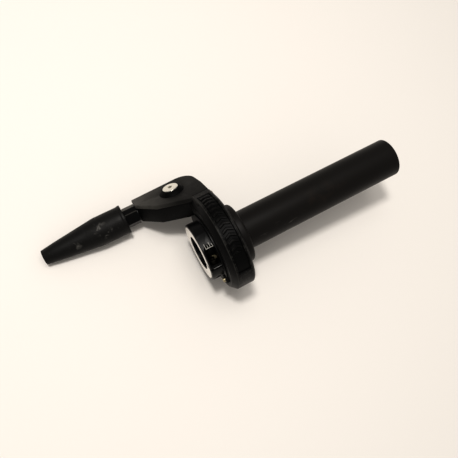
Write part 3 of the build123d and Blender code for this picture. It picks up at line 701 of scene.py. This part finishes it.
def make_adjuster():
    tip, barrel_end = HEX_HIGH.x, HEX_LOW.x
    hex_start = HEX_END - HEX_LENGTH
    seat = HEX_END + SEAT_T
    angles = turn_angles(180)

    def circle(x, radius):
        return [around_cable(x, radius, a) for a in angles]

    # barrel, hexagon, seat, thread, and back through the bore
    rings = [circle(barrel_end, SLEEVE_R), circle(barrel_end, BARREL_R - 0.4 * MM),
             circle(barrel_end + 0.4 * MM, BARREL_R), circle(hex_start, BARREL_R)]
    rows = [i / HEX_CHAMFER_ROWS for i in range(HEX_CHAMFER_ROWS + 1)]
    hex_rows = [(hex_start + HEX_CHAMFER * share, share) for share in rows]
    hex_rows += [(HEX_END - 0.2 * MM, 1), (HEX_END, 0.9)]
    for x, rise in hex_rows:
        cone = HEX_FLAT + 0.5 * MM * (1 + rise)
        rings.append([around_cable(x, min(hexagon(a, HEX_FLAT, HEX_TURN), cone), a)
                      for a in angles])
    rings += [circle(HEX_END, BARREL_R), circle(seat, BARREL_R),
              circle(seat, THREAD_R - THREAD_DEPTH)]
    first = round(SEAT_T / THREAD_STEP + 0.5)
    for i in range(first, int((tip - HEX_END) / THREAD_STEP)):
        x = HEX_END + i * THREAD_STEP
        fade = 1 - smoothstep(tip - 1.2 * MM, tip, x)
        rings.append([around_cable(x, thread_radius(x, a, fade), a) for a in angles])
    sleeve_end = barrel_end + SLEEVE_DEPTH
    rings += [circle(tip, THREAD_R - 1.0 * MM), circle(tip, WIRE_R),
              circle(sleeve_end, WIRE_R), circle(sleeve_end, SLEEVE_R)]
    piece = new_piece("turned_adjuster", mesh_from_rings("turned_adjuster", rings, closed=True))
    return finish_piece(piece, "adjuster", "adjuster_black", ("cable_adjuster",), sharp=28)


# ----------------------------------------------------------------------- screws

NEARLY_ZERO = 0.001 * MM


def screw_mesh(name, origin, up, head_r, head_h, shank_r, length, socket_flat, dome=0.0, spin=0.0):
    """Headed screw: rounded rim, slight dome and a hexagonal socket; up points out of the head."""
    side = up.orthogonal().normalized()
    other = up.cross(side)
    angles = turn_angles(96)

    def ring(radius, height):
        return [origin + up * height + (side * math.cos(a) + other * math.sin(a)) * radius
                for a in angles]

    def socket_ring(height):
        return [origin + up * height
                + (side * math.cos(a) + other * math.sin(a)) * hexagon(a, socket_flat, spin)
                for a in angles]

    ease = min(0.35 * MM, head_h * 0.45)
    rings = [ring(NEARLY_ZERO, -length), ring(shank_r - 0.3 * MM, -length),
             ring(shank_r, -length + 0.4 * MM), ring(shank_r, 0),
             ring(head_r - 0.1 * MM, 0), ring(head_r, 0.1 * MM)]
    rim_steps = 5
    for i in range(rim_steps + 1):
        turn = math.pi / 2 * i / rim_steps
        rings.append(ring(head_r - ease * (1 - math.cos(turn)),
                          head_h - ease * (1 - math.sin(turn))))
    lip = socket_flat * 1.155 + 0.18 * MM
    for share in (0.35, 0.7, 1.0):
        rings.append(ring(head_r - ease + (lip - head_r + ease) * share, head_h + dome * share))
    top = head_h + dome
    bottom = top - 0.5 * MM - socket_flat
    rings += [socket_ring(top - 0.12 * MM), socket_ring(bottom),
              ring(NEARLY_ZERO, bottom - socket_flat * 0.35)]
    return mesh_from_rings(name, rings)


def make_axle_screw():
    head_seat = 33.2 * MM
    origin = ROLLER_POINT + ARM_NORMAL * (head_seat - ROLLER_POINT.dot(ARM_NORMAL))
    mesh = screw_mesh("axle_screw_turned", origin, ARM_NORMAL, head_r=5.1 * MM, head_h=0.7 * MM,
                      shank_r=2.5 * MM, length=18.6 * MM, socket_flat=1.25 * MM,
                      dome=0.12 * MM, spin=0.3)
    piece = new_piece("axle_screw_turned", mesh)
    return finish_piece(piece, "housing", "nickel_steel", ("axle_screw",), sharp=32)


def make_clamp_screw():
    origin = PINCH_POINT + SLIT_DOWN * PINCH_SEAT
    mesh = screw_mesh("clamp_screw_turned", origin, SLIT_DOWN, head_r=3.0 * MM, head_h=PINCH_HEAD_H,
                      shank_r=2.0 * MM, length=11.0 * MM, socket_flat=1.5 * MM)
    piece = new_piece("clamp_screw_turned", mesh)
    finish_piece(piece, "housing", "zinc_steel", ("clamp_screw",), sharp=32)
    piece.data.materials[0] = LOOKS["pinch_steel"]
    return piece


# -------------------------------------------------- collar's scale and slit highlight

COLLAR_R = 19 * MM
FACET = math.radians(84)             # the collar's flat, about the bar
FACET_HALF = 5 * MM
DATUM_AT = 4.45 * MM                 # datum line, from the middle of the flat
LINE_W = 0.35 * MM
TICK_W = 0.3 * MM
TICKS = 4
TICK_PITCH = 1.45 * MM
SLIT_HIGHLIGHT_R = 18.93 * MM
SLIT_HALF = 0.6 * MM


def make_slit_highlight():
    """Bright steel strip along the clamp's slit: a painted highlight where the edge catches light."""
    out = Vector((0, math.cos(SLIT), math.sin(SLIT)))
    taper = ((1.9 * MM, 0.04 * MM), (2.1 * MM, 0.17 * MM),
             (7.0 * MM, 0.17 * MM), (7.15 * MM, 0.04 * MM))
    rings = []
    for x, width in taper:
        middle = Vector((x, 0, 0)) + out * SLIT_HIGHLIGHT_R + SLIT_DOWN * SLIT_HALF
        rings.append([middle + out * width * math.cos(a) + SLIT_DOWN * width * math.sin(a)
                      for a in turn_angles(8)])
    piece = new_piece("slit_highlight", mesh_from_rings("slit_highlight", rings))
    finish_piece(piece, "housing", "collar_black")
    piece.data.materials[0] = LOOKS["plain_steel"]
    return piece


def make_marks():
    """Painted lines on the collar's flat: a datum line along the bar and short ticks."""
    out = Vector((0, math.cos(FACET), math.sin(FACET)))
    across = Vector((0, -math.sin(FACET), math.cos(FACET)))
    distance = math.sqrt(COLLAR_R ** 2 - FACET_HALF ** 2)
    recess_shade, proud = 0.02 * MM, 0.03 * MM
    work = bmesh.new()

    def stroke(x0, x1, t0, t1):
        corners = [(x0, t0), (x1, t0), (x1, t1), (x0, t1)]
        low, top = ([work.verts.new(Vector((x, 0, 0)) + out * height + across * t)
                     for x, t in corners] for height in (distance - recess_shade, distance + proud))
        work.faces.new(top)
        work.faces.new(list(reversed(low)))
        for i in range(4):
            j = (i + 1) % 4
            work.faces.new((low[i], low[j], top[j], top[i]))

    stroke(2.2 * MM, 7.1 * MM, DATUM_AT, DATUM_AT + LINE_W)
    for i in range(TICKS):
        x = 2.3 * MM + TICK_PITCH * i
        length = (1.8 if i % 2 else 3.2) * MM
        stroke(x, x + TICK_W, DATUM_AT - length, DATUM_AT)
    bmesh.ops.recalc_face_normals(work, faces=work.faces)
    mesh = bpy.data.meshes.new("position_marks")
    work.to_mesh(mesh)
    work.free()
    piece = new_piece("position_marks", mesh)
    piece.data.materials.append(LOOKS["mark_paint"])
    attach(piece, "housing")
    return piece


make_band()
make_tube()
make_boot()
make_adjuster()
make_axle_screw()
make_clamp_screw()
make_marks()
make_slit_highlight()
EDGE_ROUNDING = {
    "clamp_hub": 0.35 * MM, "housing_body": 0.15 * MM, "arm_cover": 0.2 * MM,
    "axle_washer": 0.3 * MM, "outboard_cover": 0.25 * MM, "case_screws": 0.25 * MM,
    "case_through_screw": 0.25 * MM, "axle_nut": 0.2 * MM,
}
for name, width in EDGE_ROUNDING.items():
    eased(name, width)

# --------------------------------------------------------- floor, light, camera

FLOOR_DROP = 31.2 * MM               # below the bar's axis, under the band
FLOOR_REACH = 3.0
FLOOR_SLOPE = math.radians(5.7)      # rises inboard: the throttle rests on its boot and band
LAMP_WHITE = (1.0, 0.97, 0.93)
LAMP_TARGET = (0.02, 0.0, 0.0)
CAMERA_PLACE = (-0.0398, -0.04462, 0.31732)
CAMERA_RIGHT = Vector((0.87576, -0.47175, 0.10246))
CAMERA_UP = Vector((0.44169, 0.86867, 0.22431))


def make_floor():
    mesh = bpy.data.meshes.new("floor")
    corners = [(-1, -1), (1, -1), (1, 1), (-1, 1)]
    points = [(x * FLOOR_REACH, y * FLOOR_REACH, 0) for x, y in corners]
    mesh.from_pydata(points, [], [(0, 1, 2, 3)])
    look = Shader("floor_paper", (0.85, 0.82, 0.785), 0.8, Specular_IOR_Level=0.2)
    look.roughen(look.noise(8, 2), 0.65, 0.75)
    mesh.materials.append(look.material)
    piece = new_piece("floor", mesh)
    piece.location = ((BAND_LOW.x + BAND_HIGH.x) / 2, 0, -FLOOR_DROP)
    piece.rotation_euler.y = FLOOR_SLOPE


def make_light(name, position, energy, size):
    lamp = bpy.data.lights.new(name, "AREA")
    lamp.energy = energy
    lamp.size = size
    lamp.color = LAMP_WHITE
    holder = bpy.data.objects.new(name, lamp)
    holder.location = position
    aim = Vector(LAMP_TARGET) - Vector(position)
    holder.rotation_euler = aim.to_track_quat("-Z", "Y").to_euler()
    scene.collection.objects.link(holder)


def make_world():
    """White studio, evenly bright all round."""
    world = bpy.data.worlds.new("studio")
    world.use_nodes = True
    background = world.node_tree.nodes["Background"]
    background.inputs["Color"].default_value = (1.0, 0.96, 0.91, 1)
    background.inputs["Strength"].default_value = 0.46
    scene.world = world


def make_camera():
    data = bpy.data.cameras.new("camera")
    data.sensor_width = 36
    data.lens = 40.87
    data.clip_start = 0.01
    axes = (CAMERA_RIGHT, CAMERA_UP, CAMERA_RIGHT.cross(CAMERA_UP))
    turn = Matrix(axes).transposed().to_4x4()
    camera = bpy.data.objects.new("camera", data)
    camera.matrix_world = Matrix.Translation(Vector(CAMERA_PLACE)) @ turn
    scene.collection.objects.link(camera)
    scene.camera = camera


make_floor()
make_light("key", (-0.03, 0.17, 0.92), energy=5.0, size=0.12)
make_light("fill", (0.15, 0.20, 1.10), energy=3.4, size=0.6)
make_world()
make_camera()
scene.view_settings.view_transform = "Standard"
scene.view_settings.gamma = 0.8
